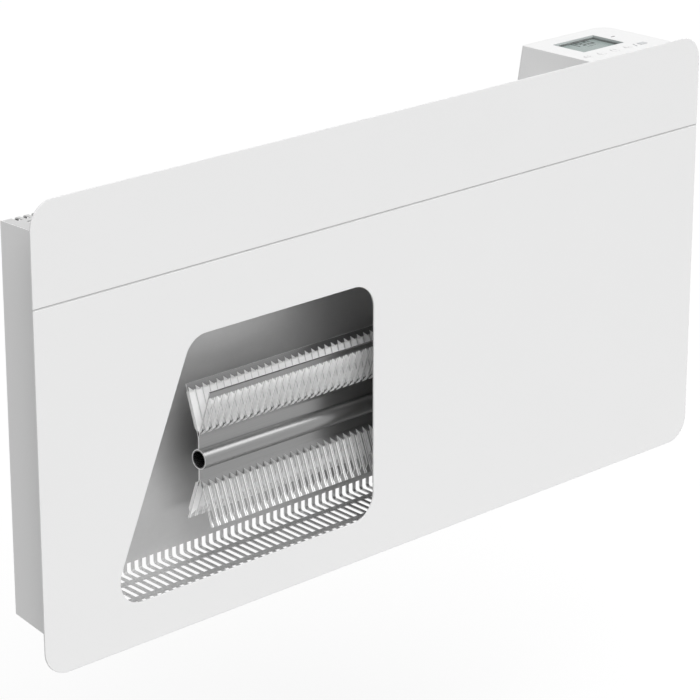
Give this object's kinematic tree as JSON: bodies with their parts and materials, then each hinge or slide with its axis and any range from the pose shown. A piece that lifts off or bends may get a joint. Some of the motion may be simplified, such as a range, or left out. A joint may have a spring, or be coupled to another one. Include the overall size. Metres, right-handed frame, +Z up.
{
  "type": "wall convector heater",
  "caption": "Wall convector heater: flat front panel with a cut-away window onto a finned element, slotted sheet casing, top control box with display and keys, steel wall bracket.",
  "frame": {"origin": "on the wall plane, at the centre of the wall bracket's rectangle of fixing holes", "axes": "+X to the right as seen from the room, along the heater; +Y into the wall; +Z up"},
  "size_m": [0.886, 0.1, 0.45],
  "materials": {
    "panel_paint": "satin white powder coat",
    "cover_paint": "satin white powder coat",
    "casing_steel": "bright galvanised sheet",
    "bracket_steel": "galvanised sheet",
    "latch_steel": "hardened strip, lightly oiled",
    "zinc_fastener": "bright zinc plate",
    "element_aluminium": "bright rolled sheet",
    "rod_steel": "drawn tube",
    "rod_filler": "pressed mineral filler, dark at its end",
    "rod_ceramic": "unglazed ceramic",
    "terminal_brass": "stamped and turned brass",
    "cutout_body": "moulded phenolic with a metal face",
    "sensor_body": "moulded plastic with a coated bead",
    "control_white": "satin moulded white",
    "button_white": "satin moulded white with grey symbols",
    "button_grey": "satin moulded grey",
    "indicator_grey": "smoked light guide",
    "lcd_lens": "clear moulded lens",
    "lcd_glass": "grey-green liquid crystal display",
    "board_green": "glass-fibre board with green mask",
    "black_plastic": "moulded black nylon",
    "transformer_tape": "yellow tape over windings",
    "terminal_green": "moulded green nylon",
    "pillar_nylon": "natural nylon",
    "lead_silicone": "silicone-covered wire",
    "rubber_black": "moulded rubber"
  },
  "bodies": {
    "heater": {"front_panel": "panel_paint", "panel_spacers": "rubber_black", "panel_nuts": "zinc_fastener", "rear_casing": "casing_steel", "left_side_cover": "cover_paint", "right_side_cover": "cover_paint", "partition_plate": "casing_steel", "casing_screws": "zinc_fastener", "sheet_rivets": "zinc_fastener", "element_front_sheet": "element_aluminium", "element_rear_sheet": "element_aluminium", "rod_sheath": "rod_steel", "rod_core": "rod_filler", "rod_seal": "rod_ceramic", "rod_terminals": "terminal_brass", "element_bracket_left": "bracket_steel", "element_bracket_right": "bracket_steel", "thermal_cutout": "cutout_body", "cutout_bracket": "bracket_steel", "room_sensor": "sensor_body", "control_housing": "control_white", "control_base": "control_white", "control_screws": "zinc_fastener", "lcd_window": "lcd_lens", "lcd_module": "lcd_glass", "display_board": "board_green", "tact_switches": "black_plastic", "indicator_lens": "indicator_grey", "power_board": "board_green", "board_header": "black_plastic", "relay": "black_plastic", "transformer": "transformer_tape", "terminal_block": "terminal_green", "board_pillars": "pillar_nylon", "earth_stud": "terminal_brass", "cable_gland": "black_plastic", "gland_nut": "black_plastic", "internal_leads": "lead_silicone", "lead_grommet": "rubber_black", "wall_bracket": "bracket_steel", "latch_pivots": "zinc_fastener", "wall_spacers": "rubber_black"},
    "button_power": {"button_power": "button_white"},
    "button_minus": {"button_minus": "button_white"},
    "button_plus": {"button_plus": "button_white"},
    "button_menu": {"button_menu": "button_white"},
    "button_ok": {"button_ok": "button_grey"},
    "latch_left": {"latch_left": "latch_steel"},
    "latch_right": {"latch_right": "latch_steel"}
  },
  "joints": [
    {"name": "button_power_press", "type": "slide", "parent": "heater", "child": "button_power", "axis": [0, 0, -1], "range_m": [0, 0.0008], "stiffness_N_per_m": 800},
    {"name": "button_minus_press", "type": "slide", "parent": "heater", "child": "button_minus", "axis": [0, 0, -1], "range_m": [0, 0.0008], "stiffness_N_per_m": 800},
    {"name": "button_plus_press", "type": "slide", "parent": "heater", "child": "button_plus", "axis": [0, 0, -1], "range_m": [0, 0.0008], "stiffness_N_per_m": 800},
    {"name": "button_menu_press", "type": "slide", "parent": "heater", "child": "button_menu", "axis": [0, 0, -1], "range_m": [0, 0.0008], "stiffness_N_per_m": 800},
    {"name": "button_ok_press", "type": "slide", "parent": "heater", "child": "button_ok", "axis": [0, 0, -1], "range_m": [0, 0.0008], "stiffness_N_per_m": 800},
    {"name": "latch_left_turn", "type": "hinge", "parent": "heater", "child": "latch_left", "pos_m": [-0.179, -0.011, 0.1134], "axis": [-1, 0, 0], "range_deg": [0, 6]},
    {"name": "latch_right_turn", "type": "hinge", "parent": "heater", "child": "latch_right", "pos_m": [0.179, -0.011, 0.1134], "axis": [-1, 0, 0], "range_deg": [0, 6]}
  ]
}
